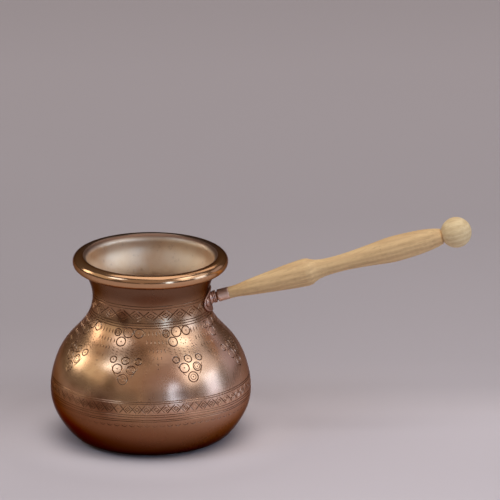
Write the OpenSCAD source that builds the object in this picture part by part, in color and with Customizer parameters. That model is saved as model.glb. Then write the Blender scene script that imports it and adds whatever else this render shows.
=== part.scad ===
// Long-handled copper coffee pot (cezve): a raised copper pot with a rolled rim and a tinned inside,
// and a turned wooden handle that a riveted plate, a stem and a steel tang hold out from the neck.
// Millimetres. +Z is up, +X is towards the handle, and the origin is the centre of the flat base.

/* [Pot] */
// Thickness of the copper sheet
wall = 1.2; // [0.9:0.1:1.3]
// Thickness of the tin coat inside
tin = 0.15; // [0.1:0.05:0.2]
// Radius of the flat underside
base_r = 36; // [32:1:38]
// Greatest pull of the belly's outline, a little over the belly's own radius
belly_pull_r = 61; // [58:0.5:63]
// Tightest pull of the neck's outline, a little under the neck's own radius
neck_pull_r = 34; // [33:0.5:35]

/* [Rolled rim] */
// Radius of the ring that the middle of the rolled rim follows
rim_r = 42.5; // [42:0.5:44]
// Height of the middle of the rolled rim
rim_z = 109.2; // [108:0.2:111]
// Radius of the rolled rim's round section
bead_r = 4.3; // [4:0.1:4.5]
// Angle round the bead at which the tin ends, 90 being its top
tin_end_angle = 117; // [105:1:130]
// Angle round the bead at which the curled edge ends, 180 being its inner side
curl_end_angle = 222; // [221:1:235]

/* [Handle mounting] */
// Height at which the handle's axis leaves the neck
handle_z = 85.7; // [84.7:0.2:86.7]
// Angle of the handle above level
handle_rise = 15.6; // [12:0.2:20]
// Thickness of the handle plate
plate_t = 1.2; // [1:0.1:1.5]
// Width of the oval handle plate, across the neck
plate_w = 28.6; // [27:0.2:30]
// Height of the oval handle plate
plate_h = 15; // [14:0.5:16]
// Angle round the pot from the handle's axis to each rivet
rivet_angle = 17.5; // [17:0.5:18]
// Radius of a rivet's shank
rivet_r = 1.5; // [1.2:0.1:1.6]
// Radius of a rivet's head
rivet_head_r = 2.8; // [2.4:0.1:3]

/* [Handle] */
// Radius of the steel tang
tang_r = 1.8; // [1.5:0.1:2]
// Depth that the tang reaches into the grip, from the neck
tang_reach = 66; // [50:2:74]
// Outer radius of the ferrule
ferrule_r = 3.75; // [3.6:0.05:3.9]
// Thickness of the ferrule
ferrule_t = 0.5; // [0.4:0.1:0.6]
// Radius of the ball at the handle's end
ball_r = 9.3; // [8.9:0.1:9.6]

/* [Hidden] */
$fn = 96;

// Outlines are cubic B-splines: each guide point pulls the line towards itself.
curve_steps = 5;
lip_r = rim_r - bead_r + wall;
pot_guide = [
    // along the flat underside, so that the line starts level at base_r
    [base_r - 6, 0], [base_r, 0], [base_r + 6, 0],
    // round the heel, the belly and the shoulder
    [48, 2.5], [54, 10.5], [59.5, 20], [belly_pull_r, 31.5], [58.5, 45], [53, 58], [43.5, 67],
    // the neck and its flare
    [36.5, 76.5], [neck_pull_r, 89], [37, 98.5],
    // straight up where it becomes the rolled rim
    [lip_r, rim_z - 5], [lip_r, rim_z], [lip_r, rim_z + 5]
];

// Places along the handle's axis, from the neck's surface
neck_r = 35;
tang_start = 2;
stem_end = 5.8;
ferrule_end = 12.6;
grip_end = 145;
grip_end_r = 4.8;
ball_seat = 145.6;
ball_at = 154.1;
groove_r = 3.7;
tenon_r = 3;
tenon_end = 151;
tenon_gap = 0.5;
socket_gap = 0.05;
// Stem: a spigot through the plate, a flared foot, two collar beads and a reduced end
spigot_r = 2.4;
spigot_end = 3;
foot_start = -0.6;
foot_end = 2.8;
foot_r = 4.8;
foot_flare_r = 1.9;
foot_edge = 0.4;
stem_r = 3.2;
stem_neck_end = 4.6;
collar_r = 3.8;
collar_bead_r = 0.5;
collar_places = [3.1, 4.2];
stem_tip_r = 2.6;
// The grip's outline, as [radius, place along the axis]
grip_guide = [
    [3.9, ferrule_end - 6], [3.5, ferrule_end], [3.6, ferrule_end + 6],
    // the first swell
    [4.65, 23.5], [6.2, 37.5], [7.6, 50], [8.5, 60.5], [8.1, 63.5], [5.9, 66.5],
    // the waist and the second swell
    [4.8, 75], [5.05, 86.5], [6.1, 98], [7.3, 109], [7.9, 114], [7.5, 127], [7, 133.5], [6.1, 140],
    [grip_end_r, grip_end], [3.3, grip_end + 3]
];
// Rivets: domed heads outside, peened ends inside
rivet_z = 86.7;
rivet_tilt = 6;
rivet_dome_h = 1.3;
rivet_dome_r = 4;
rivet_peen_h = 0.7;
// How far a shape reaches past the face that it is trimmed to, or that it cuts
spare = 1;

COPPER = "#b87048";
DARK_COPPER = "#7d5f50";
TIN = "#b9ada2";
STEEL = "#6d6f73";
WOOD = "#c29a68";
PALE_WOOD = "#d6bb94";

// A point of the B-spline through guide points p, in its stretch i, at t from 0 to 1
function spline_point(p, i, t) =
    (pow(1 - t, 3) * p[i] + (3 * t * t * t - 6 * t * t + 4) * p[i + 1]
        + (-3 * t * t * t + 3 * t * t + 3 * t + 1) * p[i + 2] + t * t * t * p[i + 3]) / 6;

// The direction of the line at the same place
function spline_slope(p, i, t) =
    (-pow(1 - t, 2) * p[i] + (3 * t * t - 4 * t) * p[i + 1]
        + (-3 * t * t + 2 * t + 1) * p[i + 2] + t * t * p[i + 3]) / 2;

// The same point moved out from the surface by d
function spline_offset(p, i, t, d) =
    let (s = spline_slope(p, i, t))
        spline_point(p, i, t) + d * [s[1], -s[0]] / norm(s);

// The whole line through guide points p, moved out by d
function outline(p, d = 0) =
    let (last = len(p) - 4)
        [for (i = [0 : last], k = [0 : curve_steps - (i == last ? 0 : 1)])
            spline_offset(p, i, k / curve_steps, d)];

function reversed(v) = [for (i = [len(v) - 1 : -1 : 0]) v[i]];

// A wedge of a circle's area, between two angles
module wedge(from, to, r) {
    polygon(concat([[0, 0]], [for (i = [0 : 6]) let (a = from + (to - from) * i / 6) r * [cos(a), sin(a)]]));
}

// Everything inside the pot's outer surface moved out by d
module pot_inside(d) {
    rotate_extrude()
        polygon(concat([[0, -d]], outline(pot_guide, d), [[0, rim_z]]));
}

// Lays a piece that stands on +Z along the handle's axis
module on_handle_axis() {
    translate([neck_r, 0, handle_z])
        rotate([0, 90 - handle_rise, 0])
            children();
}

// Places a piece that stands on +Z at each rivet, with its origin on the neck's surface
module at_rivets() {
    for (side = [-1, 1])
        rotate([0, 0, side * rivet_angle])
            translate([neck_r, 0, rivet_z])
                rotate([0, 90 - rivet_tilt, 0])
                    children();
}

module rivet_holes() {
    at_rivets()
        cylinder(r = rivet_r, h = 16 * spare, center = true);
}

module pot_body() {
    color(COPPER)
        difference() {
            rotate_extrude()
                union() {
                    polygon(concat([[0, 0]], outline(pot_guide), reversed(outline(pot_guide, -wall)),
                        [[0, wall]]));
                    translate([rim_r, rim_z])
                        difference() {
                            circle(r = bead_r);
                            circle(r = bead_r - wall);
                            wedge(180, curl_end_angle, 2 * bead_r);
                        }
                }
            rivet_holes();
        }
}

module tin_lining() {
    color(TIN)
        difference() {
            rotate_extrude()
                union() {
                    polygon(concat([[0, wall]], outline(pot_guide, -wall),
                        reversed(outline(pot_guide, -wall - tin)), [[0, wall + tin]]));
                    translate([rim_r, rim_z])
                        intersection() {
                            difference() {
                                circle(r = bead_r + tin);
                                circle(r = bead_r);
                            }
                            wedge(tin_end_angle, 180, 2 * bead_r);
                        }
                }
            rivet_holes();
        }
}

module rim_wire() {
    color(STEEL)
        rotate_extrude()
            translate([rim_r, rim_z])
                circle(r = bead_r - wall - socket_gap);
}

module handle_plate() {
    color(COPPER)
        difference() {
            intersection() {
                translate([0, 0, handle_z])
                    rotate([0, 90, 0])
                        linear_extrude(height = 2 * neck_r)
                            polygon([for (a = [0 : 10 : 350]) [plate_h / 2 * cos(a), plate_w / 2 * sin(a)]]);
                pot_inside(plate_t);
            }
            pot_inside(0);
            rivet_holes();
            on_handle_axis()
                cylinder(r = spigot_r, h = 12 * spare, center = true);
        }
}

// One rivet standing on +Z, from its peened end to the middle of its head
module rivet_shank() {
    translate([0, 0, -wall - tin - rivet_peen_h])
        cylinder(r = rivet_r, h = rivet_peen_h + wall + tin + plate_t + rivet_dome_h / 2);
}

// Its domed head, with a spare length below that the plate's surface trims away
module rivet_head() {
    intersection() {
        translate([0, 0, plate_t - spare / 2])
            cylinder(r = rivet_head_r, h = spare / 2 + rivet_dome_h);
        translate([0, 0, plate_t + rivet_dome_h - rivet_dome_r])
            sphere(r = rivet_dome_r);
    }
}

module plate_rivets() {
    color(COPPER) {
        at_rivets()
            rivet_shank();
        difference() {
            at_rivets()
                rivet_head();
            pot_inside(plate_t);
        }
        // peened ends inside, flattened against the lining
        intersection() {
            at_rivets()
                translate([0, 0, -wall - tin - rivet_peen_h])
                    cylinder(r = rivet_head_r, h = rivet_peen_h + spare / 2);
            pot_inside(-wall - tin);
        }
    }
}

// The stem standing on +Z, without its spigot
module stem_outside() {
    rotate_extrude()
        union() {
            difference() {
                translate([0, foot_start])
                    square([foot_r, foot_end - foot_start]);
                translate([foot_r + foot_edge, foot_end])
                    circle(r = foot_flare_r);
            }
            square([stem_r, stem_neck_end]);
            for (z = collar_places)
                translate([collar_r - collar_bead_r, z])
                    circle(r = collar_bead_r);
            square([stem_tip_r, stem_end]);
        }
}

module handle_stem() {
    color(COPPER)
        difference() {
            union() {
                difference() {
                    on_handle_axis()
                        stem_outside();
                    pot_inside(plate_t);
                }
                difference() {
                    on_handle_axis()
                        cylinder(r = spigot_r, h = 2 * spigot_end, center = true);
                    pot_inside(0);
                }
            }
            on_handle_axis()
                translate([0, 0, tang_start])
                    cylinder(r = tang_r, h = stem_end - tang_start + spare);
        }
}

module handle_tang() {
    color(STEEL)
        on_handle_axis()
            translate([0, 0, tang_start])
                cylinder(r = tang_r, h = tang_reach - tang_start);
}

module ferrule() {
    color(DARK_COPPER)
        on_handle_axis()
            translate([0, 0, stem_end])
                difference() {
                    cylinder(r = ferrule_r, h = ferrule_end - stem_end);
                    translate([0, 0, -spare])
                        cylinder(r = ferrule_r - ferrule_t, h = ferrule_end - stem_end + 2 * spare);
                }
}

module handle_grip() {
    color(WOOD)
        on_handle_axis()
            difference() {
                union() {
                    // tenon inside the ferrule
                    translate([0, 0, stem_end])
                        cylinder(r = ferrule_r - ferrule_t, h = ferrule_end - stem_end);
                    rotate_extrude()
                        polygon(concat([[0, ferrule_end]], outline(grip_guide), [[0, grip_end]]));
                    // tenon inside the ball
                    translate([0, 0, grip_end - spare])
                        cylinder(r = tenon_r, h = tenon_end - grip_end + spare);
                    // floor of the groove in front of the ball
                    translate([0, 0, grip_end - spare])
                        cylinder(r = groove_r, h = ball_seat - grip_end + spare);
                }
                translate([0, 0, stem_end - spare])
                    cylinder(r = tang_r, h = tang_reach - stem_end + spare);
            }
}

module handle_ball() {
    color(PALE_WOOD)
        on_handle_axis()
            difference() {
                translate([0, 0, ball_at])
                    sphere(r = ball_r);
                // flat seat against the grip
                translate([0, 0, ball_seat - ball_r])
                    cylinder(r = ball_r, h = ball_r);
                // blind hole for the tenon
                translate([0, 0, ball_seat - spare])
                    cylinder(r = tenon_r + socket_gap, h = tenon_end - ball_seat + tenon_gap + spare);
            }
}

pot_body();
tin_lining();
rim_wire();
handle_plate();
plate_rivets();
handle_stem();
handle_tang();
ferrule();
handle_grip();
handle_ball();
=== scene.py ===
"""Looks of a long-handled copper coffee pot (cezve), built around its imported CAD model.

The copper body is one closed skin whose engraving is cut into the mesh: the ornament is drawn flat on
one eighth of the pot, triangulated together with its grooves, and wrapped round eight times.
"""
import math

import bpy
import numpy as np
from mathutils import Matrix, Vector
from mathutils.geometry import delaunay_2d_cdt


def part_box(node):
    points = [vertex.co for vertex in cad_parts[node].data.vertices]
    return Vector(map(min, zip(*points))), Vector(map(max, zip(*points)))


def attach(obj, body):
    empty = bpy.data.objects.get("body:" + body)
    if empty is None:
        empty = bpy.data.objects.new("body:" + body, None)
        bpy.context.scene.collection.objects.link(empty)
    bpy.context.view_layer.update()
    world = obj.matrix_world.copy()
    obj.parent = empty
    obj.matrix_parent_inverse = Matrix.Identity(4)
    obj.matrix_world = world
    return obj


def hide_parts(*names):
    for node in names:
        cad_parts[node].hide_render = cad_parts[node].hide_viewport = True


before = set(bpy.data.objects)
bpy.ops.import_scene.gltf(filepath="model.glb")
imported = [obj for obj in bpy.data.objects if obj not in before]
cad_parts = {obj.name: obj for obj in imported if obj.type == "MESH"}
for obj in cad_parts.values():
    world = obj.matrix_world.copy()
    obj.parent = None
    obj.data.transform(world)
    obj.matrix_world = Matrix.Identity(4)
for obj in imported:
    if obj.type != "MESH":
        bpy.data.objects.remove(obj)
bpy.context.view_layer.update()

MM = 0.001

# ---- sizes, in millimetres, as in the CAD model
WALL = 1.2
TIN = 0.15
BASE_R = 36
# the rim is rolled round its wire
wire_low, wire_high = (np.array(corner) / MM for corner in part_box("rim_wire"))
WIRE_R = (wire_high[2] - wire_low[2]) / 2
RIM_R = wire_high[0] - WIRE_R
RIM_Z = (wire_high[2] + wire_low[2]) / 2
BEAD_R = WIRE_R + WALL
LIP_R = RIM_R - BEAD_R + WALL
# degrees round the bead at which it leaves the wall, the tin ends, and the curled edge ends
LIP_TURN, TIN_END, CURL_END = 180, 117, 222
POT_GUIDE = [
    (BASE_R - 6, 0), (BASE_R, 0), (BASE_R + 6, 0),
    (48, 2.5), (54, 10.5), (59.5, 20), (61, 31.5), (58.5, 45), (53, 58), (43.5, 67),
    (36.5, 76.5), (34, 89), (37, 98.5),
    (LIP_R, RIM_Z - 5), (LIP_R, RIM_Z), (LIP_R, RIM_Z + 5),
]
NECK_R = 35
HANDLE_Z, HANDLE_RISE = 85.7, 15.6
HANDLE_TURN = math.radians(90 - HANDLE_RISE)
PLATE_W, PLATE_H = 28.6, 15
RIVET_Z, RIVET_ANGLE, RIVET_TILT = 86.7, 17.5, 6
# places along the handle's axis from the neck, and radii
STEM_END, FERRULE_END, GRIP_END, BALL_SEAT, TENON_END, BALL_AT = 5.8, 12.6, 145, 145.6, 151, 154.1
FERRULE_R, FERRULE_T, GRIP_END_R, GROOVE_R, TENON_R, BALL_R = 3.75, 0.5, 4.8, 3.7, 3, 9.3
GRIP_GUIDE = [
    (3.9, FERRULE_END - 6), (3.5, FERRULE_END), (3.6, FERRULE_END + 6),
    (4.65, 23.5), (6.2, 37.5), (7.6, 50), (8.5, 60.5), (8.1, 63.5), (5.9, 66.5),
    (4.8, 75), (5.05, 86.5), (6.1, 98), (7.3, 109), (7.9, 114), (7.5, 127), (7, 133.5), (6.1, 140),
    (GRIP_END_R, GRIP_END), (3.3, GRIP_END + 3),
]


# ---- outlines
# how a cubic B-spline weighs four guide points: a row for each power of the share of the way along
WEIGHTS = np.array([(1, 4, 1, 0), (-3, 0, 3, 0), (3, -6, 3, 0), (-1, 3, -3, 1)]) / 6


def spline(guide, steps):
    """Points and outward unit normals of the cubic B-spline through guide points (radius, height)."""
    points, normals = [], []
    last = len(guide) - 4
    for i in range(last + 1):
        pulls = WEIGHTS @ np.array(guide[i : i + 4], float)
        for t in np.arange(steps + (i == last)) / steps:
            dr, dz = np.array([0, 1, 2 * t, 3 * t**2]) @ pulls
            points.append(np.array([1, t, t**2, t**3]) @ pulls)
            normals.append(np.array([dz, -dr]) / math.hypot(dr, dz))
    return np.array(points), np.array(normals)


def arc(centre, radius, start, end, steps):
    """Points of a circular arc, angles in degrees."""
    a = np.radians(np.linspace(start, end, steps + 1))
    return np.c_[centre[0] + radius * np.cos(a), centre[1] + radius * np.sin(a)]


def evenly(count):
    """Angles of so many equal steps of a full turn."""
    return 2 * math.pi * np.arange(count) / count


def circle(turns, r, z):
    """Points at those angles, radius r and height z, or the one point on the axis where r is 0."""
    if r == 0:
        return np.array([[0, 0, z]])
    return np.c_[r * np.cos(turns), r * np.sin(turns), np.full(len(turns), z)]


def smooth_step(t):
    """0 up to t = 0 and 1 from t = 1, smoothly."""
    t = np.clip(t, 0, 1)
    return t * t * (3 - 2 * t)


# A fine table of the pot's outer line. Its flat drawing keeps shapes: x is angle times DRAWING_R, and y is
# length along the line, stretched by the same factor as x is at that radius.
DRAWING_R = 50
line, line_normal = spline(POT_GUIDE, steps=80)
line_step = np.hypot(*np.diff(line, axis=0).T)
line_y = np.r_[0, np.cumsum(line_step * DRAWING_R / ((line[1:, 0] + line[:-1, 0]) / 2))]
TOP_Y = line_y[-1]
SECTORS = 8
SECTOR_X = DRAWING_R * 2 * math.pi / SECTORS
SECTOR_TURN = math.radians(-129.5)
NET_COLUMNS, NET_ROWS = 20, 75


def y_of(z):
    """The drawing's y at height z."""
    return float(np.interp(z, line[:, 1], line_y))


def x_of(degrees):
    """The drawing's x at an angle."""
    return DRAWING_R * math.radians(degrees)


def on_line(y, table):
    """Interpolates a column or columns of the line's table at drawing heights y."""
    if table.ndim == 1:
        return np.interp(y, line_y, table)
    return np.stack([np.interp(y, line_y, table[:, k]) for k in range(table.shape[1])], -1)


def reach_at(y):
    """How many of the drawing's units make a millimetre of the pot at drawing height y."""
    return DRAWING_R / on_line(y, line[:, 0])


# ---- traces of hand work
# A wave's size, its count round the pot, its phase and its lean. Dents have a rate and a phase upwards too.
DENTS = (
    (0.10, 3, 0.5, 0.05, 0.045, 1.0),
    (0.055, 7, 1.7, -0.06, 0.13, 0.4),
    (0.030, 13, 0.3, 0, 0.21, 2.0),
    (0.012, 23, 2.3, 0.11, 0.37, 0.7),
)
STRAY_ACROSS = ((0.30, 2, 0.8, 0), (0.22, 5, 2.1, 0.08), (0.12, 11, 0, 0.2))
STRAY_ALONG = ((0.45, 1, 2.6, 0), (0.14, 4, 0.4, 0), (0.10, 9, 1.3, 0.1))
WORN_WAVES = ((0.14, 2, 0.9, 0.05), (0.14, 5, 2.2, -0.09), (0.12, 9, 0, 0.17))
FADE_LENGTH = 14
# How much engraving is left: its mean, its change round and up the pot, and the least low and high on it
WORN_MEAN, WORN_SIDE, WORN_TURN, WORN_UP = 0.74, 0.30, math.radians(55), 1.15
WORN_LEAST, WORN_LEAST_ADDED, WORN_Z, WORN_RISE = 0.25, 0.72, 43, 8


def waves(angle, y, table):
    """The sum of a table of waves round the pot."""
    return sum(size * np.sin(count * angle + phase + lean * y) for size, count, phase, lean in table)


def fade(y):
    """1 over the pot's wall and 0 at both ends of its line."""
    return smooth_step(np.minimum(y, TOP_Y - y) / FADE_LENGTH)


def uneven(angle, y):
    """How far hand work has left the wall off its ideal line, in millimetres."""
    dents = sum(waves(angle, y, [wave]) * np.sin(rate * y + start) for *wave, rate, start in DENTS)
    return dents * fade(y)


def drift(angle, y):
    """How far the engraver's hand strays from the even drawing, as (x, y) in millimetres."""
    return waves(angle, y, STRAY_ACROSS) * fade(y), waves(angle, y, STRAY_ALONG) * fade(y)


def wear(angle, y):
    """How much of the engraving years of polishing have left, 0 to 1."""
    left = WORN_MEAN + WORN_SIDE * np.cos(angle + WORN_TURN) * (WORN_UP - y / TOP_Y)
    left = left + waves(angle, y, WORN_WAVES)
    least = WORN_LEAST + WORN_LEAST_ADDED * np.clip((y - y_of(WORN_Z)) / WORN_RISE, 0, 1)
    return np.clip(left, least, 1.0)


def wall_point(angle, y, out=0.0):
    """Points of the wall moved out by `out`, in millimetres."""
    rz, normal = on_line(y, line), on_line(y, line_normal)
    normal = normal / np.linalg.norm(normal, axis=-1, keepdims=True)
    rz = rz + normal * np.expand_dims(uneven(angle, y) + out, -1)
    return np.stack([rz[..., 0] * np.cos(angle), rz[..., 0] * np.sin(angle), rz[..., 1]], -1)


def wall_normal(angle, y):
    """Outward unit normals of the wall, from points a little way off on each side."""
    e = 0.02
    across = wall_point(angle + e / DRAWING_R, y) - wall_point(angle - e / DRAWING_R, y)
    along = wall_point(angle, np.minimum(y + e, TOP_Y)) - wall_point(angle, np.maximum(y - e, 0))
    n = np.cross(across, along)
    return n / np.linalg.norm(n, axis=-1, keepdims=True)


# ---- the engraving, drawn flat on one sector
# Strokes as (points, half widths, drawing units per millimetre, depth, closed). A pit's `closed` is None.
strokes = []
SIDE_ROOM = 1.5
TAPER_POWER = 0.6


def stroke(points, width=0.7, depth=0.2, closed=False, taper=1.0):
    """A cut along points (n, 2) of the drawing. An open stroke runs out to nothing over `taper` mm."""
    points = np.array(points, float)
    reach = reach_at(points[:, 1])
    half = np.full(len(points), width / 2)
    if not closed:
        along = np.r_[0, np.cumsum(np.hypot(*np.diff(points, axis=0).T) / reach[1:])]
        room = np.minimum(along, along[-1] - along)
        half = half * np.clip(room / taper, 0, 1) ** TAPER_POWER
    low, high = points[:, 0].min(), points[:, 0].max()
    for shift in (-SECTOR_X, 0, SECTOR_X):
        if high + shift > -SIDE_ROOM and low + shift < SECTOR_X + SIDE_ROOM:
            strokes.append((points + [shift, 0], half, reach, depth, closed))


def smooth_way(a, b, count, bow=0.0):
    """Points from a to b, bowed sideways by a share of the length."""
    a, b = np.array(a, float), np.array(b, float)
    t = np.linspace(0, 1, count)[:, None]
    side = np.array([-(b - a)[1], (b - a)[0]])
    return a + (b - a) * t + side * bow * 4 * t * (1 - t)


def cut(x1, y1, x2, y2, width=0.8, depth=0.21, bow=0.0):
    """A single stroke of the graver, swelling in the middle."""
    stroke(smooth_way((x1, y1), (x2, y2), 9, bow), width, depth, taper=1.6)


def girdle(z, width=0.55, depth=0.17):
    """A scored line right round the pot."""
    x = SECTOR_X * np.arange(-1, NET_COLUMNS + 2) / NET_COLUMNS
    y = np.full(len(x), y_of(z))
    strokes.append((np.c_[x, y], np.full(len(x), width / 2), reach_at(y), depth, False))


def ring(x, y, radius, width=0.8, depth=0.23, sides=22):
    """A punched circle of that radius in millimetres."""
    a, reach = evenly(sides), reach_at(y)
    stroke(np.c_[x + radius * reach * np.cos(a), y + radius * reach * np.sin(a)], width, depth, closed=True)


def dot(x, y, radius=0.5, depth=0.24):
    """A pit of a pointed punch, kept as a stroke that is hardly longer than a point."""
    ends = np.array([[x - 0.02, y], [x + 0.02, y]])
    strokes.append((ends, np.full(2, radius), np.full(2, reach_at(y)), depth, None))


def leaf(x, y, length, lean):
    """An upright leaf-shaped punch mark, its top at y."""
    reach = reach_at(y)
    cut(x, y, x + lean * reach, y - length * reach, depth=0.18)


def lozenge(x, y, wide, high, width=0.68, depth=0.19):
    """A closed lozenge with half-sizes wide and high in drawing units."""
    corners = np.array([(x - wide, y), (x, y + high), (x + wide, y), (x, y - high)])
    ways = [smooth_way(corners[i], corners[(i + 1) % 4], 4)[:-1] for i in range(4)]
    stroke(np.concatenate(ways), width, depth, closed=True)


def lozenge_band(low_z, high_z, first, pitch, plain=()):
    """Crossed strokes between two heights, with a small lozenge and a dot between crossings, or a level
    stroke where the number is in `plain`. `first` and `pitch` are in degrees."""
    low, high = y_of(low_z), y_of(high_z)
    middle, half, step = (low + high) / 2, (high - low) / 2, x_of(pitch)
    for k in range(round(360 / SECTORS / pitch)):
        x = x_of(first) + k * step
        cut(x + 0.04 * step, low, x + 0.96 * step, high, bow=0.01)
        cut(x + 0.04 * step, high, x + 0.96 * step, low, bow=0.015)
        if k in plain:
            cut(x - 0.22 * step, middle, x + 0.22 * step, middle, width=0.45, depth=0.12)
        else:
            lozenge(x, middle, 0.25 * step, 0.42 * half)
            dot(x, middle, radius=0.36)


# heights in millimetres of the scored lines by the neck's band and by the belly's band
NECK_LINES = (91.2, 89.4, 81, 79.6, 78.2)
BELLY_LINES = (39.2, 38.1, 31.2, 29.9, 28.2, 27.1)
SCALLOP_TOP, SCALLOPS = 26.2, 10
# A pendant's rings: millimetres to the right of its middle, height, radius, and radius of a ring inside
PENDANT_RINGS = (
    (-8.6, 75.2, 2.2, 1.1), (-1.8, 75.6, 3.1, 0), (4.7, 75.4, 2.7, 0),
    (-5.6, 70.6, 2.9, 0),
    (-7.8, 61.6, 2.1, 0), (0, 61.6, 2.4, 0), (7.8, 61.4, 2.1, 0),
    (-4.2, 57.2, 3.0, 0), (4.4, 57.0, 2.7, 1.7),
    (0.2, 51.8, 3.1, 1.7),
)
ROSETTE_AT, ROSETTE_SIZE, ROSETTE_DOTS = (1.2, 70.4), (1.7, 1.5), 7
CHAIN_AT, CHAIN_STEP, CHAIN_DOTS = (5.8, 71), (0.45, -1.35), 4
TIE_PLACES, TIE_TOP, TIE_ROWS, TIE_PITCH = (-9.4, -6.6, -3.6, -0.4, 2.8, 6.0, 9.0), 67.6, 3, 1.35
# rows of leaf marks between the pendants: height, length and number of marks, then the dots under them
FRINGE_ROWS = ((76.6, 3.4, 7), (71.8, 3.0, 6), (67.4, 2.6, 5), (63.6, 2.2, 3))
FRINGE_DOTS = ((59.6, 0.5), (57.4, 0.4))
FRINGE_PITCH, FRINGE_LEAN = 2.2, 0.12
# a little off the sector's border, so that no cut runs along it
FRINGE_X = 0.37


def draw_bands():
    """The bands of crossed strokes on the neck and the belly, between scored lines."""
    for z in NECK_LINES:
        girdle(z)
    lozenge_band(81.9, 88.6, first=10.8, pitch=15)
    for z in BELLY_LINES:
        girdle(z)
    lozenge_band(31.8, 37.5, first=4.3, pitch=5.625, plain=(3,))


def draw_scallops():
    """Small hanging arcs under the lower band, a dot in each."""
    y = y_of(SCALLOP_TOP)
    for k in range(SCALLOPS):
        x = SECTOR_X * (k + 0.5) / SCALLOPS
        a = np.radians(np.linspace(200, 340, 8))
        stroke(np.c_[x + 1.7 * np.cos(a), y - 0.2 + 1.9 * np.sin(a)], width=0.45, depth=0.12, taper=0.8)
        dot(x, y - 0.9, radius=0.32, depth=0.14)


def draw_pendant(x):
    """A hanging cluster of punched rings and dots, in two parts that each narrow downwards."""
    def at(across, z):
        y = y_of(z)
        return x + across * reach_at(y), y

    for across, z, radius, inner in PENDANT_RINGS:
        ring(*at(across, z), radius)
        if inner:
            ring(*at(across, z), inner, width=0.5, depth=0.14, sides=16)
        dot(*at(across, z))
    # a rosette of dots beside the single ring of the second row, and a short slanting chain
    for a in evenly(ROSETTE_DOTS):
        place = (ROSETTE_AT[0] + ROSETTE_SIZE[0] * math.cos(a), ROSETTE_AT[1] + ROSETTE_SIZE[1] * math.sin(a))
        dot(*at(*place), radius=0.36, depth=0.18)
    for k in range(CHAIN_DOTS):
        dot(*at(CHAIN_AT[0] + CHAIN_STEP[0] * k, CHAIN_AT[1] + CHAIN_STEP[1] * k), radius=0.36, depth=0.18)
    # small slanting marks that tie the upper part to the lower one
    for column, across in enumerate(TIE_PLACES):
        for k in range(TIE_ROWS):
            z = TIE_TOP - TIE_PITCH * k - 0.5 * (column % 2)
            cut(*at(across - 0.95, z), *at(across + 0.95, z - 0.8), width=0.55, depth=0.15)
    # two long strokes that frame the tip
    cut(*at(8.6, 59), *at(4.4, 52.5), width=0.5, depth=0.14, bow=0.06)
    cut(*at(-8.2, 59), *at(-3.8, 52.5), width=0.5, depth=0.14, bow=-0.06)


def draw_fringe(x):
    """Leaf marks that hang between two pendants, in shorter and shorter rows."""
    for z, length, marks in FRINGE_ROWS:
        y = y_of(z)
        pitch = FRINGE_PITCH * reach_at(y)
        for k in range(marks):
            place = k - (marks - 1) / 2
            leaf(x + place * pitch, y, length, FRINGE_LEAN * place)
    for z, radius in FRINGE_DOTS:
        dot(x, y_of(z), radius)


# ---- the sector as triangles
PIT_SIDES = 6
NET_GAP = 0.45
SHALLOWEST = 0.006
SAME_POINT = 0.004
SMALLEST_TURN = 1e-7


def pieces_of(array, about):
    """The array in parts of about that length."""
    return np.array_split(array, max(1, len(array) // about))


def neighbours(n, closed):
    """The pairs of neighbours in a row of n points."""
    return [(i, (i + 1) % n) for i in range(n if closed else n - 1)]


def edge_lines(points, half, reach, closed):
    """The two edges of a stroke."""
    steps = np.diff(np.r_[points[-1:], points, points[:1]], axis=0)
    if not closed:
        steps[0], steps[-1] = steps[1], steps[-2]
    steps /= np.linalg.norm(steps, axis=1, keepdims=True)
    mitre = steps[:-1] + steps[1:]
    mitre /= np.linalg.norm(mitre, axis=1, keepdims=True)
    stretch = 1 / np.clip((mitre * steps[:-1]).sum(1), 0.5, 1)
    side = np.c_[-mitre[:, 1], mitre[:, 0]] * (half * reach * stretch)[:, None]
    return points + side, points - side


def engraving_depth(points):
    """For each point of the drawing, how deep the engraving is there, in millimetres."""
    starts, ends, half_a, half_b, deep = [], [], [], [], []
    for way, half, reach, depth, closed in strokes:
        for i, j in neighbours(len(way), closed):
            starts.append(way[i])
            ends.append(way[j])
            half_a.append(half[i] * reach[i])
            half_b.append(half[j] * reach[j])
            deep.append(depth)
    starts, ends, deep = np.array(starts), np.array(ends), np.array(deep)
    half_a, half_b = np.array(half_a), np.array(half_b)
    widest = max(half_a.max(), half_b.max())
    depth = np.zeros(len(points))
    for block in pieces_of(np.argsort(points[:, 1]), 150):
        p = points[block]
        near = (np.minimum(starts[:, 1], ends[:, 1]) < p[:, 1].max() + widest) & (
            np.maximum(starts[:, 1], ends[:, 1]) > p[:, 1].min() - widest)
        if not near.any():
            continue
        a, ab = starts[near], ends[near] - starts[near]
        t = ((p[:, None] - a) * ab).sum(-1) / np.maximum((ab * ab).sum(-1), 1e-9)
        t = np.clip(t, 0, 1)
        gap = np.linalg.norm(p[:, None] - (a + ab * t[..., None]), axis=-1)
        half = half_a[near] * (1 - t) + half_b[near] * t
        share = np.where(half > 1e-3, 1 - gap / np.maximum(half, 1e-3), 0)
        # shallower where it is narrower
        own = np.clip(share, 0, 1) * (half / np.maximum(half_a[near], half_b[near]).clip(1e-3))
        depth[block] = (own * deep[near]).max(1)
    depth[depth < SHALLOWEST] = 0
    return depth


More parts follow.
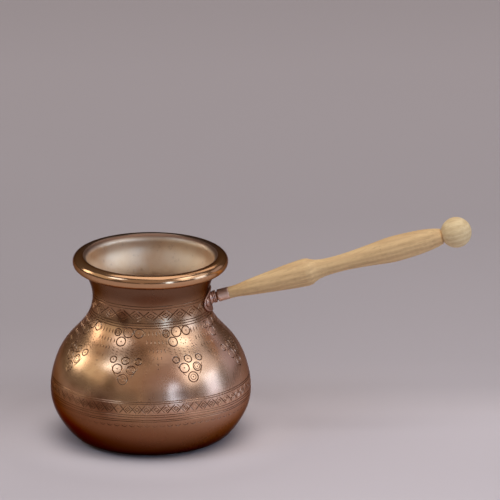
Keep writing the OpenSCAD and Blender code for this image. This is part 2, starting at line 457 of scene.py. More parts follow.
def drawing_lines():
    """All points of the sector's drawing, and the edges that its triangles have to keep."""
    points, edges = [], []

    def add_way(way, closed):
        edges.extend((len(points) + i, len(points) + j) for i, j in neighbours(len(way), closed))
        points.extend(way.tolist())

    for way, half, reach, depth, closed in strokes:
        if closed is None:
            centre = way.mean(0)
            add_way(centre + circle(evenly(PIT_SIDES), half[0] * reach[0], 0)[:, :2], True)
            points.append(centre.tolist())
            continue
        add_way(way, closed)
        for edge in edge_lines(way, half, reach, closed):
            add_way(edge, closed)

    # the frame of the sector, and an even net of points wherever there is no engraving
    rows = np.linspace(0, TOP_Y, NET_ROWS + 1)
    columns = SECTOR_X * np.arange(NET_COLUMNS + 1) / NET_COLUMNS
    for x in (0.0, SECTOR_X):
        add_way(np.c_[np.full(len(rows), x), rows], False)
    for y in (0.0, TOP_Y):
        add_way(np.c_[columns, np.full(len(columns), y)], False)
    net = np.array([(x, y) for y in rows[1:-1] for x in columns[1:-1]])
    busy = np.array(points)
    free = [np.linalg.norm(part[:, None] - busy, axis=-1).min(1) > NET_GAP for part in pieces_of(net, 35)]
    points.extend(net[np.concatenate(free)].tolist())
    return points, edges


def sector_mesh():
    """The engraved drawing of one sector as points, triangles and depths."""
    points, edges = drawing_lines()
    found = delaunay_2d_cdt([Vector(p) for p in points], edges, [], 0, 1e-4)
    flat = np.array([tuple(v) for v in found[0]])
    faces = np.array(found[2])
    middle = flat[faces].mean(1)
    inside = (middle[:, 0] > 0) & (middle[:, 0] < SECTOR_X) & (middle[:, 1] > 0) & (middle[:, 1] < TOP_Y)
    used, faces = np.unique(faces[inside], return_inverse=True)
    flat, faces = flat[used], faces.reshape(-1, 3)
    # no slivers, and every triangle turned the same way
    a, b, c = flat[faces[:, 0]], flat[faces[:, 1]], flat[faces[:, 2]]
    turn = (b - a)[:, 0] * (c - a)[:, 1] - (b - a)[:, 1] * (c - a)[:, 0]
    faces, turn = faces[np.abs(turn) > SMALLEST_TURN], turn[np.abs(turn) > SMALLEST_TURN]
    faces[turn < 0] = faces[turn < 0][:, ::-1]
    flat, faces = match_sides(flat, faces)
    return flat, faces, engraving_depth(flat)


def border(flat, axis, value):
    """Indices of the points on one border of the sector, in order along it."""
    on = np.flatnonzero(np.abs(flat[:, axis] - value) < 1e-3)
    return on[np.argsort(flat[on, 1 - axis])]


def match_sides(flat, faces):
    """Gives both sides of the sector the same points, by splitting a triangle where a side lacks one."""
    faces = faces.tolist()
    for side, other in ((0.0, SECTOR_X), (SECTOR_X, 0.0)):
        own = list(border(flat, 0, side))
        for k in border(flat, 0, other):
            y = flat[k, 1]
            heights = flat[own, 1]
            if np.abs(heights - y).min() < SAME_POINT:
                continue
            i = int(np.searchsorted(heights, y))
            a, b = own[i - 1], own[i]
            new = len(flat)
            flat = np.vstack([flat, [side, y]])
            own.insert(i, new)
            split = next(f for f, face in enumerate(faces) if a in face and b in face)
            faces.append([new if v == a else v for v in faces[split]])
            faces[split] = [new if v == b else v for v in faces[split]]
    return flat, np.array(faces)


def engraved_wall():
    """The whole outer wall: points, normals, depths, triangles, and the rings of points at its ends."""
    flat, faces, depth = sector_mesh()
    left, right = border(flat, 0, 0.0), border(flat, 0, SECTOR_X)
    if len(left) != len(right) or np.abs(flat[left, 1] - flat[right, 1]).max() > 0.01:
        raise ValueError(f"the sector's sides differ: {len(left)} and {len(right)} points")
    flat[right, 1] = flat[left, 1]
    depth[right] = depth[left] = np.maximum(depth[left], depth[right])
    low, high = border(flat, 1, 0.0), border(flat, 1, TOP_Y)

    # each copy of the sector shares its right side with the next copy's left side
    own = np.ones(len(flat), bool)
    own[right] = False
    place = np.cumsum(own) - 1
    all_faces, bottom, top = [], [], []
    for k in range(SECTORS):
        index = place + k * own.sum()
        index[right] = place[left] + ((k + 1) % SECTORS) * own.sum()
        all_faces.append(index[faces])
        bottom.append(index[low[:-1]])
        top.append(index[high[:-1]])
    x, y = flat[own].T
    angle = np.concatenate([SECTOR_TURN + (x + k * SECTOR_X) / DRAWING_R for k in range(SECTORS)])
    y = np.tile(y, SECTORS)
    depth = np.tile(depth[own], SECTORS) * wear(angle, y)
    dx, dy = drift(angle, y)
    angle, y = angle + dx / on_line(y, line[:, 0]), np.clip(y + dy, 0, TOP_Y)
    return (wall_point(angle, y, -depth), wall_normal(angle, y), depth,
            *(np.concatenate(parts) for parts in (all_faces, bottom, top)))


# ---- making objects
def new_object(name, points, faces, smooth=True):
    """A mesh object from points in millimetres and its faces."""
    mesh = bpy.data.meshes.new(name)
    mesh.from_pydata((np.asarray(points, float) * MM).tolist(), [], faces)
    mesh.polygons.foreach_set("use_smooth", np.full(len(mesh.polygons), smooth))
    mesh.update()
    piece = bpy.data.objects.new(name, mesh)
    bpy.context.scene.collection.objects.link(piece)
    return piece


def lathe_faces(rows, closed=False):
    """Faces between rows of point numbers round an axis, the other way out if the rows come in reverse.
    A row of one point is a pole."""
    faces = []
    for low, high in zip(rows, rows[1:] + rows[:1] if closed else rows[1:]):
        around = max(len(low), len(high))
        for i in range(around if around > 1 else 0):
            j = (i + 1) % around
            if len(low) == 1:
                faces.append((low[0], high[j], high[i]))
            elif len(high) == 1:
                faces.append((low[i], low[j], high[0]))
            else:
                faces.append((low[i], low[j], high[j], high[i]))
    return faces


def numbered(rings, first=0):
    """The numbers of the points in rings that follow each other in one list."""
    ends = first + np.cumsum([len(ring) for ring in rings])
    return [list(range(end - len(ring), end)) for ring, end in zip(rings, ends)]


def pot_body():
    """The closed copper skin: engraved wall, flat base, rolled rim and inner wall."""
    points, normals, depth, faces, bottom, top = engraved_wall()
    around = len(bottom)
    turns = SECTOR_TURN + evenly(around)
    all_points, all_normals = [points], [normals]

    def add(ring_points, ring_normals):
        first = sum(len(part) for part in all_points)
        all_points.append(ring_points)
        all_normals.append(ring_normals)
        return list(range(first, first + len(ring_points)))

    def row(r, z, nr, nz):
        """A row at radius r and height z whose normals lean by nr outwards and nz upwards."""
        ring_points = circle(turns, r, z)
        leaning = np.c_[nr * np.cos(turns), nr * np.sin(turns), np.full(around, nz)]
        return add(ring_points, leaning[: len(ring_points)])

    base = [row(r, 0, 0, -1) for r in (0, 8, 16, 24, 31)] + [list(bottom)]
    # the face towards the wire, then back over the rim to the mouth and down the inside
    rows = [list(top)]
    inner_r = BEAD_R - WALL
    for r, z in arc((RIM_R, RIM_Z), inner_r, LIP_TURN, CURL_END - 360, 34)[1:]:
        rows.append(row(r, z, (RIM_R - r) / inner_r, (RIM_Z - z) / inner_r))
    for r, z in arc((RIM_R, RIM_Z), BEAD_R, CURL_END - 360, LIP_TURN, 52):
        rows.append(row(r, z, (r - RIM_R) / BEAD_R, (z - RIM_Z) / BEAD_R))
    for y in np.linspace(TOP_Y, 0, 48)[1:]:
        level = np.full(around, y)
        rows.append(add(wall_point(turns, level, -WALL), -wall_normal(turns, level)))
    rows += [row(r, WALL, 0, 1) for r in (24, 12, 0)]

    faces = [tuple(face) for face in faces.tolist()] + lathe_faces(base) + lathe_faces(rows)
    piece = new_object("copper_pot", np.concatenate(all_points), faces)
    groove = np.zeros(len(piece.data.vertices))
    groove[: len(depth)] = depth
    full_groove = 0.2
    layer = piece.data.attributes.new("groove", "FLOAT", "POINT")
    layer.data.foreach_set("value", np.clip(groove / full_groove, 0, 1).astype(np.float32))
    shade_cuts(piece.data, np.concatenate(all_normals), groove)
    return piece


def shade_cuts(mesh, normals, groove):
    """Plain stretches shade as the smooth wall they lie on, and the cuts as their own facets."""
    starts, sizes = (np.empty(len(mesh.polygons), np.int32) for _ in range(2))
    corner = np.empty(len(mesh.loops), np.int32)
    mesh.polygons.foreach_get("loop_start", starts)
    mesh.polygons.foreach_get("loop_total", sizes)
    mesh.loops.foreach_get("vertex_index", corner)
    facet = np.array([tuple(p.normal) for p in mesh.polygons])
    owner = np.repeat(np.arange(len(sizes)), sizes)
    on_cut = (np.maximum.reduceat(groove[corner], starts) > 0)[owner]
    shade = normals[corner]
    shade[on_cut] = facet[owner][on_cut]
    mesh.normals_split_custom_set(shade.tolist())


def tin_lining():
    """The tin coat: its own skin from the bottom's middle up the wall to the inside of the rim."""
    turns = evenly(160)
    up = np.linspace(0, TOP_Y, 90)
    rim = (RIM_R, RIM_Z)

    def wall_rings(heights, out):
        return [wall_point(turns, np.full(len(turns), y), out) for y in heights]

    rings = wall_rings(up, -WALL - TIN)
    rings += [circle(turns, r, z) for r, z in arc(rim, BEAD_R + TIN, LIP_TURN, TIN_END, 12)[1:]]
    rings += [circle(turns, r, z) for r, z in arc(rim, BEAD_R, TIN_END, LIP_TURN, 12)]
    rings += wall_rings(up[-2::-1], -WALL)
    rings += [circle(turns, r, WALL) for r in (24, 12, 0)]
    rings += [circle(turns, r, WALL + TIN) for r in (0, 12, 24)]
    faces = lathe_faces(numbered(rings)[::-1], closed=True)
    return new_object("tinned_inside", np.concatenate(rings), faces)


# ---- bracket, ferrule and handle pieces
def on_handle(name, section, around, wobble=None, closed=False):
    """A turned piece on the handle's axis, from the (radius, place) points of its section. `wobble` may
    move its points while the axis still stands on Z."""
    rings = [circle(evenly(around), r, z) for r, z in section]
    points = np.concatenate(rings)
    if wobble:
        points = wobble(points)
    piece = new_object(name, points, lathe_faces(numbered(rings), closed))
    foot = Matrix.Translation(Vector((NECK_R, 0, HANDLE_Z)) * MM)
    piece.data.transform(foot @ Matrix.Rotation(HANDLE_TURN, 4, "Y"))
    return piece


def moved_out(points, out):
    """Points moved away from the Z axis by `out` millimetres, less of it within 1 mm of the axis."""
    r = np.hypot(points[:, 0], points[:, 1])
    scale = np.where(r > 1e-6, 1 + out / np.maximum(r, 1), 1)
    return np.c_[points[:, :2] * scale[:, None], points[:, 2]]


def handle_stem():
    """The turned stem: flared foot, two collar beads and the reduced end that shows as a dark gap."""
    section = [(0, 0.7), (3.0, 0.7), (4.75, 0.9)]
    section += [(r, z) for r, z in arc((5.2, 2.8), 1.9, 262, 182, 10) if z > 0.95]
    for collar in (3.15, 4.2):
        section += [tuple(point) for point in arc((3.3, collar), 0.5, -80, 80, 8)]
    section += [(3.2, 4.75), (2.6, 4.85), (2.6, STEM_END), (0, STEM_END)]
    return on_handle("turned_stem", section, 72)


def ferrule_piece():
    """The ferrule: a thin tube with eased edges and a faint waist."""
    r, inner_r = FERRULE_R, FERRULE_R - FERRULE_T
    start, end = STEM_END, FERRULE_END
    outside = [(r - 0.25, start), (r - 0.08, start + 0.06), (r, start + 0.28)]
    outside += [(r - 0.06, start + 1.5), (r - 0.08, (start + end) / 2), (r - 0.06, end - 1.2)]
    outside += [(r, end - 0.35), (r - 0.03, end - 0.12), (r - 0.14, end)]
    return on_handle("ferrule_tube", outside + [(inner_r, end), (inner_r, start)], 72, closed=True)


def turned_grip():
    """The turned wooden grip, with faint tool rings and the slight unevenness of hand turning."""
    in_ferrule = FERRULE_R - FERRULE_T - 0.02
    section = [(0, STEM_END), (in_ferrule, STEM_END), (in_ferrule, FERRULE_END - 0.02)]
    section += [tuple(point) for point in spline(GRIP_GUIDE, steps=14)[0]]
    section += [(GRIP_END_R - 0.2, GRIP_END + 0.15), (GROOVE_R + 0.1, GRIP_END + 0.2), (GROOVE_R, BALL_SEAT)]
    section += [(TENON_R, BALL_SEAT), (TENON_R, TENON_END), (0, TENON_END)]

    def wobble(points):
        angle, z = np.arctan2(points[:, 1], points[:, 0]), points[:, 2]
        free = np.clip((z - FERRULE_END - 1) / 6, 0, 1) * np.clip((GRIP_END - z) / 6, 0, 1)
        tool_rings = 0.035 * np.sin(z * 2.1)
        oval = 0.05 * np.sin(z * 0.45 + 1) * np.sin(2 * angle + 0.4) + 0.04 * np.sin(3 * angle + 0.13 * z)
        return moved_out(points, (tool_rings + oval) * free)

    return on_handle("turned_grip", section, 96, wobble)


def turned_ball():
    """The ball: a turned sphere with a flat seat, two faint tool lines and a small nub left at its pole."""
    seat_turn = math.degrees(math.acos((BALL_SEAT - BALL_AT) / BALL_R))
    socket_r, socket_end = TENON_R + 0.05, TENON_END + 0.5
    tool_lines, tool_depth, tool_width = (60, 118), 0.05, 1.6
    section = [(0, socket_end), (socket_r, socket_end), (socket_r, BALL_SEAT), (3.5, BALL_SEAT)]
    for turn in np.linspace(seat_turn, 3, 60):
        r = BALL_R - sum(tool_depth * math.exp(-((turn - place) / tool_width) ** 2) for place in tool_lines)
        section.append((r * math.sin(math.radians(turn)), BALL_AT + r * math.cos(math.radians(turn))))
    section += [(0.3, BALL_AT + BALL_R - 0.02), (0, BALL_AT + BALL_R - 0.03)]

    def wobble(points):
        angle, r = np.arctan2(points[:, 1], points[:, 0]), np.hypot(points[:, 0], points[:, 1])
        free = np.clip((points[:, 2] - BALL_SEAT - 1) / 3, 0, 1) * np.clip(r / 4, 0, 1)
        return moved_out(points, 0.06 * (np.sin(2 * angle + 0.6) - 1) * free)

    return on_handle("turned_ball", section, 96, wobble)


def on_neck(across, z, out):
    """A point over the neck, `across` millimetres sideways from the handle, moved out from the wall."""
    y = np.array([y_of(z)])
    rz, normal = on_line(y, line)[0], on_line(y, line_normal)[0]
    r, height = rz + normal / np.linalg.norm(normal) * out
    angle = math.asin(across / rz[0])
    return (r * math.cos(angle), r * math.sin(angle), height)


def handle_plate():
    """The oval plate, bent to the neck, with a rounded edge."""
    # share of the plate's half-size, height above the wall
    section = [(0, 0.02), (0.5, 0.02), (0.985, 0.02), (1.0, 0.15), (1.0, 0.75), (0.985, 0.98), (0.95, 1.13),
               (0.90, 1.2), (0.86, 1.12), (0.80, 1.08), (0.6, 1.1), (0.3, 1.15), (0, 1.18)]

    def oval(share, out):
        turns = evenly(96) if share else [0]
        return [on_neck(share * PLATE_W / 2 * math.sin(a), HANDLE_Z + share * PLATE_H / 2 * math.cos(a), out)
                for a in turns]

    rings = [oval(share, out) for share, out in section]
    return new_object("bracket_plate", np.concatenate(rings), lathe_faces(numbered(rings)[::-1]))


def rivet_heads():
    """Both rivets, with domed, slightly flattened heads outside and peened ends inside, as one piece."""
    section = [(0, -2.3), (1.8, -2.3), (2.6, -2.1), (2.8, -1.8), (2.78, -1.45), (1.5, -1.4), (1.5, 1.0),
               (2.8, 1.05), (2.8, 1.45), (2.62, 1.8), (2.2, 2.15), (1.5, 2.4), (0.7, 2.5), (0, 2.52)]
    standing = [circle(evenly(48), r, z) for r, z in section]
    points, faces = [], []
    for side in (-1, 1):
        faces += lathe_faces(numbered(standing, len(points)))
        place = Matrix.Rotation(math.radians(side * RIVET_ANGLE), 4, "Z")
        place @= Matrix.Translation((NECK_R, 0, RIVET_Z))
        place @= Matrix.Rotation(math.radians(90 - RIVET_TILT), 4, "Y")
        points += [tuple(place @ Vector(point)) for point in np.concatenate(standing)]
    return new_object("rivet_pair", points, faces)


# ---- material tools
class Paint:
    """A material's nodes. An input is a number, a tuple or the socket that feeds it, and a call gives the
    socket that carries its result."""

    def __init__(self, name):
        self.material = bpy.data.materials.new(name)
        self.material.use_nodes = True
        self.tree = self.material.node_tree
        self.tree.nodes.clear()
        output = self.tree.nodes.new("ShaderNodeOutputMaterial")
        self.shader = self.tree.nodes.new("ShaderNodeBsdfPrincipled")
        self.tree.links.new(self.shader.outputs["BSDF"], output.inputs["Surface"])

    def feed(self, socket, value):
        if isinstance(value, bpy.types.NodeSocket):
            self.tree.links.new(value, socket)
        else:
            socket.default_value = (*value, 1) if socket.type == "RGBA" else value

    def add(self, kind, result, inputs=None, **settings):
        """A node with its settings and inputs, and its output of that name."""
        node = self.tree.nodes.new("ShaderNode" + kind)
        for name, value in settings.items():
            setattr(node, name, value)
        for name, value in (inputs or {}).items():
            self.feed(node.inputs[name], value)
        return node.outputs[result]

    def surface(self, **inputs):
        """Sets the shader's own inputs, with _ for a space in their names."""
        for name, value in inputs.items():
            self.feed(self.shader.inputs[name.replace("_", " ")], value)

    def place(self, scale=(1, 1, 1), turn=(0, 0, 0), shift=(0, 0, 0), source=None):
        """Object coordinates in metres, or `source`, through a mapping."""
        source = source or self.add("TexCoord", "Object")
        inputs = {"Vector": source, "Location": shift, "Rotation": turn, "Scale": scale}
        return self.add("Mapping", "Vector", inputs)

    def along(self, letter, where):
        """One coordinate of a place."""
        return self.add("SeparateXYZ", letter, {"Vector": where})

    def noise(self, where, scale, detail=4.0, roughness=0.5, distortion=0.0):
        inputs = {"Vector": where, "Scale": scale, "Detail": detail, "Roughness": roughness,
                  "Distortion": distortion}
        return self.add("TexNoise", "Fac", inputs)

    def span(self, value, start, end, low=0.0, high=1.0, kind="LINEAR"):
        """`low` where the value is at `start` or before, and `high` from `end` on."""
        inputs = {"Value": value, "From Min": start, "From Max": end, "To Min": low, "To Max": high}
        return self.add("MapRange", "Result", inputs, interpolation_type=kind)

    def ease(self, value, start, end, high=1.0):
        """0 at `start` and `high` at `end`, smoothly."""
        return self.span(value, start, end, 0, high, "SMOOTHSTEP")

    def sums(self, operation, *values):
        return self.add("Math", "Value", dict(enumerate(values)), operation=operation)

    def ramp(self, value, stops):
        """A colour ramp with (position, colour) stops."""
        result = self.add("ValToRGB", "Color", {"Fac": value})
        elements = result.node.color_ramp.elements
        while len(elements) < len(stops):
            elements.new(0.5)
        for element, (position, colour) in zip(elements, stops):
            element.position = position
            element.color = (*colour, 1)
        return result

    def mix(self, share, a, b):
        """The colour a with that share of the colour b."""
        return self.add("Mix", 2, {0: share, 6: a, 7: b}, data_type="RGBA")

    def bump(self, height, distance, strength, after=None):
        inputs = {"Height": height, "Distance": distance, "Strength": strength}
        if after:
            inputs["Normal"] = after
        return self.add("Bump", "Normal", inputs)

    def patch(self, centre, size, high):
        """`high` at a point of the object, falling to 0 at `size` along each axis, with a ragged border."""
        scale = tuple(1 / (MM * s) for s in size)
        shifted = self.place(scale, shift=tuple(-c / s for c, s in zip(centre, size)))
        away = self.add("VectorMath", "Value", {0: shifted}, operation="LENGTH")
        ragged = self.sums("MULTIPLY_ADD", self.noise(self.place(), 70, 4, 0.6), 0.9, away)
        return self.ease(ragged, 1.4, 0.7, high)


# ---- materials
# tones of the pot: colour, heights in millimetres at which it starts and is full, and its lean off level
# lean off level of the border of the painted shade low on the belly
LOW_BELLY_SHADE_LEAN = -0.16
POT_TONES = (
    # the foot and the lower belly, darkened as painted shade that stands in for the dark ground they reflect,
    # with a border that leans to the handle
    ((0.27, 0.110, 0.052), 42, 18, LOW_BELLY_SHADE_LEAN),
    ((0.15, 0.038, 0.013), 21, 5, LOW_BELLY_SHADE_LEAN),
    # the neck darker than the belly, the throat darker still as painted shade under the rim, and the rubbed
    # rim
    ((0.34, 0.18, 0.10), 72, 90, 0),
    ((0.19, 0.095, 0.055), 88, 97, 0),
    ((0.60, 0.34, 0.18), 104.5, 106.5, 0),
)
RIM_POLISH = -0.10
HANDLE_SIDE_ROSE, CLOUD_ROSE, ROSE_SHARE = (0.66, 0.42, 0.33), (0.64, 0.37, 0.26), 0.55
# dark patches of the pot, partly painted shade: centre and reach along X, Y and Z in millimetres, and how far
# they darken
PAINTED_SHADE_AND_DARK_PATCHES = (
    # painted shade: a dark reflection low on the left of the belly
    ((-31, -52, 35), (17, 30, 11), 0.75),
    ((-16, -31, 84), (6, 10, 6), 0.75),
    # painted shade under the front of the rim
    ((2, -36, 96), (20, 12, 6), 0.5),
    ((18, -58, 44), (7, 12, 5), 0.45),
    ((-22, -36, 104), (7, 10, 3), 0.6),
)
# brown of the dark patches and of the painted shade among them
PATCH_AND_SHADE_BROWN = (0.15, 0.046, 0.017)
# painted shade over the far side of the rim
FAR_RIM_PAINTED_SHADE = (0.27, 0.19, 0.145)
CUT_BROWN, CUT_SHARE = (0.075, 0.032, 0.016), 0.74


def bare_copper(name, bright, brown, dark, rough):
    """Bright metal with browner clouds and dark specks. Gives the paint, the colour and the roughness."""
    paint = Paint(name)
    paint.surface(Metallic=1.0, Specular_Tint=(0.42, 0.30, 0.26))
    clouds = paint.span(paint.noise(paint.place(), 28, 5, 0.55, 0.4), 0.38, 0.66)
    specks = paint.span(paint.noise(paint.place(), 420, 6, 0.6), 0.42, 0.30, 0, 0.12)
    smear = paint.noise(paint.place((1, 1, 0.25)), 60, 4, 0.6)
    colour = paint.mix(specks, paint.mix(clouds, bright, brown), dark)
    return paint, colour, paint.span(smear, 0, 1, *rough)


def handled(paint, colour, roughness):
    """Finishes a copper with soft ripples and hair-fine scratches."""
    ripple = paint.noise(paint.place(), 130, 3, 0.5)
    scratches = paint.noise(paint.place((1, 1, 0.06)), 900, 3, 0.6)
    relief = paint.bump(scratches, 0.00001, 0.5, after=paint.bump(ripple, 0.00006, 0.6))
    paint.surface(Base_Color=colour, Roughness=roughness, Normal=relief)
    return paint.material


def fitting_copper(name, bright, brown, dark, rough):
    return handled(*bare_copper(name, bright, brown, dark, rough))


def pot_copper():
    """The pot's copper: rosy clouds, tones by height with painted shade low on the belly and under the rim,
    dark patches partly of painted shade, painted shade on the far rim, a polished rim and dark cuts.
    """
    paint, colour, roughness = bare_copper(
        "toned_copper", bright=(0.82, 0.51, 0.29), brown=(0.60, 0.31, 0.16), dark=(0.16, 0.065, 0.03),
        rough=(0.18, 0.34))
    # rosier in broad clouds, most of all towards the handle's side (+X)
    x, y, z = (paint.along(letter, paint.place()) for letter in "XYZ")
    colour = paint.mix(paint.ease(x, 0.0, 0.06, ROSE_SHARE), colour, HANDLE_SIDE_ROSE)
    rosy = paint.span(paint.noise(paint.place(), 17, 3, 0.5, 0.6), 0.46, 0.60, 0, ROSE_SHARE)
    colour = paint.mix(rosy, colour, CLOUD_ROSE)
    # tones by height, with painted shade low on the belly and under the rim
    for tone, start, full, lean in POT_TONES:
        height = paint.along("Z", paint.place(turn=(0, lean, 0)))
        colour = paint.mix(paint.ease(height, start * MM, full * MM), colour, tone)
    # dark patches, two of them painted shade
    for spot in PAINTED_SHADE_AND_DARK_PATCHES:
        colour = paint.mix(paint.patch(*spot), colour, PATCH_AND_SHADE_BROWN)
    # painted shade: the far side of the rim (+Y) darker
    far_rim_shade = paint.sums("MULTIPLY", paint.ease(z, 0.1065, 0.1085), paint.ease(y, -0.012, 0.022))
    colour = paint.mix(far_rim_shade, colour, FAR_RIM_PAINTED_SHADE)
    polish = paint.ease(z, 0.1045, 0.1065, RIM_POLISH)
    cuts = paint.add("Attribute", "Fac", attribute_name="groove")
    colour = paint.mix(paint.span(cuts, 0.05, 0.46, 0, CUT_SHARE), colour, CUT_BROWN)
    return handled(paint, colour, paint.sums("ADD", roughness, polish))


def tin_material():
    """Wiped tin, warm tan partly as a painted reflection of the copper round it, stained in spots and rubbed
    through to brown copper over the rim.
    """
    paint = Paint("wiped_tin")
    clouds = paint.noise(paint.place(), 45, 6, 0.6, 0.8)
    # the warm tan is partly the tin's own tone and partly painted reflection of the copper round it
    colour = paint.ramp(clouds, [(0.30, (0.80, 0.58, 0.39)), (0.62, (0.89, 0.72, 0.54))])
    stains = paint.span(paint.noise(paint.place(), 260, 4, 0.6), 0.40, 0.28, 0, 0.22)
    colour = paint.mix(stains, colour, (0.34, 0.22, 0.14))
    rubbed = paint.ease(paint.along("Z", paint.place()), 0.1100, 0.1125)
    colour = paint.mix(rubbed, colour, (0.26, 0.15, 0.10))
    wipes = paint.noise(paint.place((1, 1, 0.2)), 150, 4, 0.6)
    paint.surface(Metallic=1.0, Base_Color=colour, Roughness=paint.span(clouds, 0, 1, 0.32, 0.56),
                  Normal=paint.bump(wipes, 0.00005, 0.7))
    return paint.material


def steel_material():
    """Drawn steel with rust, on the pieces that are hidden."""
    paint = Paint("drawn_steel")
    rust = paint.noise(paint.place(), 300, 5, 0.6)
    tone = paint.ramp(rust, [(0.35, (0.16, 0.11, 0.08)), (0.6, (0.33, 0.32, 0.31))])
    paint.surface(Metallic=1.0, Base_Color=tone, Roughness=paint.span(rust, 0, 1, 0.3, 0.6))
    return paint.material


def wood_material(name, light, middle, streak, ring_centre):
    """Turned wood: long grain along the handle's axis, growth rings across it, and open pores."""
    paint = Paint(name)
    # turn the handle's axis onto local Z, then stretch along it
    standing = paint.add("VectorRotate", "Vector", rotation_type="Y_AXIS", inputs={
        "Vector": paint.add("TexCoord", "Object"), "Angle": -HANDLE_TURN})

    def stretched(along, across=1, shift=(0, 0, 0)):
        return paint.place((1, across, along), shift=shift, source=standing)

    rings = paint.add("TexWave", "Fac", wave_type="BANDS", bands_direction="X", wave_profile="SIN", inputs={
        "Vector": stretched(0.06, 0.7, ring_centre), "Scale": 95, "Distortion": 3.0, "Detail": 3,
        "Detail Scale": 1.2})
    grain = paint.noise(stretched(0.09), 800, 5, 0.65, 0.3)
    broad = paint.noise(stretched(0.35), 80, 4, 0.6, 0.6)
    pores = paint.noise(stretched(0.03), 2200, 2, 0.5)
    colour = paint.mix(rings, light, middle)
    colour = paint.mix(paint.span(broad, 0, 1, 0, 0.55), colour, middle)
    colour = paint.mix(paint.span(grain, 0.52, 0.34, 0, 0.34), colour, streak)
    colour = paint.mix(paint.span(pores, 0.36, 0.26, 0, 0.5), colour, streak)
    relief = paint.bump(pores, 0.00008, 0.5, after=paint.bump(grain, 0.00010, 0.5))
    paint.surface(Base_Color=colour, Roughness=paint.span(grain, 0, 1, 0.46, 0.68),
                  Specular_IOR_Level=0.35, Normal=relief)
    return paint.material


# ---- the object
body_copper = pot_copper()
bracket_copper = fitting_copper("browned_copper", bright=(0.70, 0.45, 0.35), brown=(0.48, 0.28, 0.21),
                                dark=(0.12, 0.06, 0.035), rough=(0.28, 0.48))
ferrule_copper = fitting_copper("dull_copper", bright=(0.92, 0.69, 0.57), brown=(0.80, 0.57, 0.46),
                                dark=(0.16, 0.08, 0.05), rough=(0.36, 0.54))
tin = tin_material()
steel = steel_material()
grip_wood = wood_material("grip_wood", light=(0.79, 0.54, 0.26), middle=(0.66, 0.42, 0.20),
                          streak=(0.36, 0.19, 0.075), ring_centre=(0.3, 0, 0))
ball_wood = wood_material("ball_wood", light=(0.82, 0.63, 0.35), middle=(0.72, 0.52, 0.27),
                          streak=(0.46, 0.27, 0.12), ring_centre=(0.1, 0.4, 0))

draw_bands()
draw_scallops()
draw_pendant(SECTOR_X / 2)
draw_fringe(FRINGE_X)

for piece, node, material, slot in (
    (pot_body(), "pot_body", body_copper, "copper"),
    (tin_lining(), "tin_lining", tin, "tin"),
    (handle_plate(), "handle_plate", bracket_copper, "fitting_copper"),
    (rivet_heads(), "plate_rivets", bracket_copper, "fitting_copper"),
    (handle_stem(), "handle_stem", bracket_copper, "fitting_copper"),
    (ferrule_piece(), "ferrule", ferrule_copper, "fitting_copper"),
    (turned_grip(), "handle_grip", grip_wood, "grip_wood"),
    (turned_ball(), "handle_ball", ball_wood, "ball_wood"),
):
    piece.data.materials.append(material)
    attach(piece, "root")
    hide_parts(node)
for hidden in ("rim_wire", "handle_tang"):
    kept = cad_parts[hidden]
    kept.data.materials.clear()
    kept.data.materials.append(steel)


# ---- floor, lights, camera
# Painted light on the floor: how light it is at shares of the way from FLOOR_NEAR to FLOOR_FAR (Y in metres),
# on both sides, lighter in front and darker in a painted soft shadow band from the pot's level backwards
FLOOR_NEAR, FLOOR_FAR = -0.2, 1.2
FLOOR_LEFT_PAINTED_LIGHT = ((0.0, 0.55), (0.05, 0.54), (0.10, 0.54), (0.134, 0.54), (0.169, 0.49), (0.206, 0.42),
              (0.30, 0.39), (0.45, 0.40), (0.69, 0.46), (0.76, 0.46))
FLOOR_RIGHT_PAINTED_LIGHT = ((0.0, 0.62), (0.05, 0.60), (0.12, 0.61), (0.169, 0.60), (0.206, 0.48), (0.244, 0.445),
               (0.30, 0.43), (0.45, 0.405), (0.69, 0.46), (0.76, 0.46))
FLOOR_TINT = (1.035, 0.925, 0.935)

# Lights round the pot: name, degrees to the right of the camera's side, degrees up, metres away, size in
# metres, radiance and colour. The cards are seen only in the copper.
CARDS = (
    ("front_card", 0, 38, 1.8, (3.0, 1.5), 0.25, (1.0, 0.85, 0.80)),
    ("right_card", 72, 32, 1.8, (1.5, 1.0), 0.85, (0.92, 1.0, 1.15)),
    ("left_card", -78, 30, 1.8, (1.3, 1.0), 0.50, (1.05, 1.0, 0.82)),
)
SOFT_BOXES = (
    ("left", -108, 22, 1.2, (0.30, 0.42), 3.4, (1.0, 0.98, 0.95)),
    ("upper_left", -60, 45, 1.3, (0.44, 0.40), 2.3, (0.86, 1.14, 1.6)),
    ("front_right", 28, 10, 1.3, (0.20, 0.60), 2.6, (0.64, 1.12, 1.9)),
    ("mid_right", 54, 26, 1.4, (0.34, 0.44), 1.1, (0.92, 1.02, 1.1)),
    ("right", 78, 10, 1.3, (0.42, 0.50), 1.95, (0.76, 1.10, 1.65)),
    ("upper_right", 65, 46, 1.3, (0.44, 0.38), 2.1, (0.92, 1.02, 1.15)),
    ("back_right", 118, 16, 1.5, (0.7, 0.6), 0.42, (0.9, 0.95, 1.3)),
    ("high_back_right", 146, 45, 1.5, (0.6, 0.5), 1.0, (1.0, 0.92, 0.92)),
    ("front", -11, 7, 1.5, (0.12, 0.30), 0.4, (1.0, 0.85, 0.75)),
)
CAMERA_UP, CAMERA_DISTANCE, CAMERA_LENS = math.radians(18), 5.4, 648
CAMERA_TARGET = Vector((0.0598, 0, 0.116))


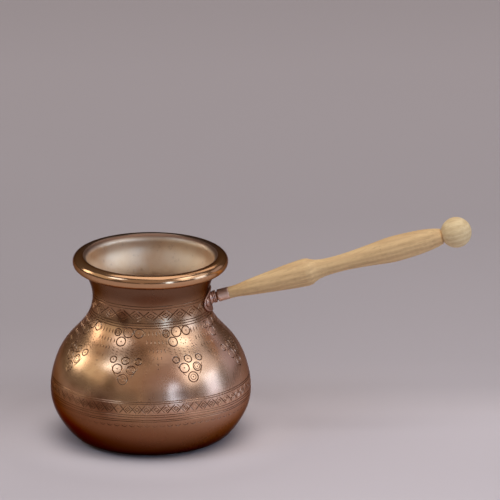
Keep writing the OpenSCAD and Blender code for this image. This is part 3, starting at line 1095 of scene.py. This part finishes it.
def floor():
    """A wide plain floor with painted light: paler in front and on the right, darker in a painted soft shadow
    band from the pot's level backwards, and palest round the foot of the pot, where painted light lifts the
    pot's shadow.
    """
    half = 6000
    corners = [(-half, -half, 0), (half, -half, 0), (half, half, 0), (-half, half, 0)]
    piece = new_object("floor", corners, [(0, 1, 2, 3)], smooth=False)
    paint = Paint("floor_with_painted_light")
    where = paint.add("TexCoord", "Object")
    # painted light: lighter in front, with a painted soft shadow band from the pot's level backwards
    far = paint.span(paint.along("Y", where), FLOOR_NEAR, FLOOR_FAR)
    left, right = (
        paint.ramp(far, [(place, tuple(value * tint for tint in FLOOR_TINT)) for place, value in tones])
        for tones in (FLOOR_LEFT_PAINTED_LIGHT, FLOOR_RIGHT_PAINTED_LIGHT)
    )
    # painted light: lighter towards the right
    colour = paint.mix(paint.ease(paint.along("X", where), -0.10, 0.20), left, right)
    # painted light: a paler patch round the pot's foot that lifts the shadow under it
    away = paint.add("VectorMath", "Value", {0: where}, operation="LENGTH")
    colour = paint.mix(paint.ease(away, 0.100, 0.058, high=0.36), colour, (0.88, 0.80, 0.80))
    mottle = paint.noise(paint.place(), 6, 2, 0.5)
    colour = paint.mix(paint.span(mottle, 0, 1, 0, 0.05), colour, (0.3, 0.27, 0.27))
    paint.surface(Base_Color=colour, Roughness=0.75, Specular_IOR_Level=0.2)
    piece.data.materials.append(paint.material)


def lamp(name, place, target, size, power, colour):
    """A rectangular soft light, size in metres, power in watts."""
    light = bpy.data.lights.new(name, "AREA")
    light.shape = "RECTANGLE"
    light.size, light.size_y = size
    light.energy = power
    light.color = colour
    lit = bpy.data.objects.new(name, light)
    bpy.context.scene.collection.objects.link(lit)
    lit.location = place
    lit.rotation_euler = (Vector(target) - Vector(place)).to_track_quat("-Z", "Y").to_euler()
    lit.visible_camera = False
    return lit


def lamp_round_pot(name, azimuth, elevation, distance, size, radiance, colour):
    """A soft light that looks at the pot, its power worked out from its radiance."""
    a, e = math.radians(azimuth), math.radians(elevation)
    middle = Vector((0, 0, 0.06))
    way = Vector((math.sin(a) * math.cos(e), -math.cos(a) * math.cos(e), math.sin(e)))
    power = radiance * math.pi * size[0] * size[1]
    return lamp(name, middle + distance * way, middle, size, power, colour)


def lights():
    """A dim warm room, broad light from above, and soft boxes and cards round the pot."""
    world = bpy.data.worlds.new("studio")
    bpy.context.scene.world = world
    world.use_nodes = True
    background = world.node_tree.nodes["Background"]
    background.inputs["Color"].default_value = (0.66, 0.56, 0.50, 1)
    background.inputs["Strength"].default_value = 0.20
    lamp("top", (0.1, 0.35, 2.4), (0, 0.2, 0), (2.4, 1.9), 17, (1.0, 0.96, 0.97))
    # a broad light for the floor and the wood that leaves no mirror image in the copper
    overhead = lamp("overhead", (0.1, -0.85, 2.2), (0, 0.15, 0), (2.2, 1.5), 25, (1.0, 0.97, 0.97))
    overhead.visible_glossy = False
    for card in CARDS:
        lamp_round_pot(*card).visible_diffuse = False
    for soft_box in SOFT_BOXES:
        lamp_round_pot(*soft_box)


def camera():
    """The view: a long lens, 18 degrees above level, with the pot left of the middle."""
    data = bpy.data.cameras.new("camera")
    data.sensor_width = 36
    data.lens = CAMERA_LENS
    data.clip_start, data.clip_end = 0.05, 50
    view = bpy.data.objects.new("camera", data)
    bpy.context.scene.collection.objects.link(view)
    way = Vector((0, -math.cos(CAMERA_UP), math.sin(CAMERA_UP)))
    view.location = CAMERA_TARGET + CAMERA_DISTANCE * way
    view.rotation_euler = (CAMERA_TARGET - view.location).to_track_quat("-Z", "Y").to_euler()
    bpy.context.scene.camera = view


bpy.context.scene.view_settings.view_transform = "Standard"
floor()
lights()
camera()
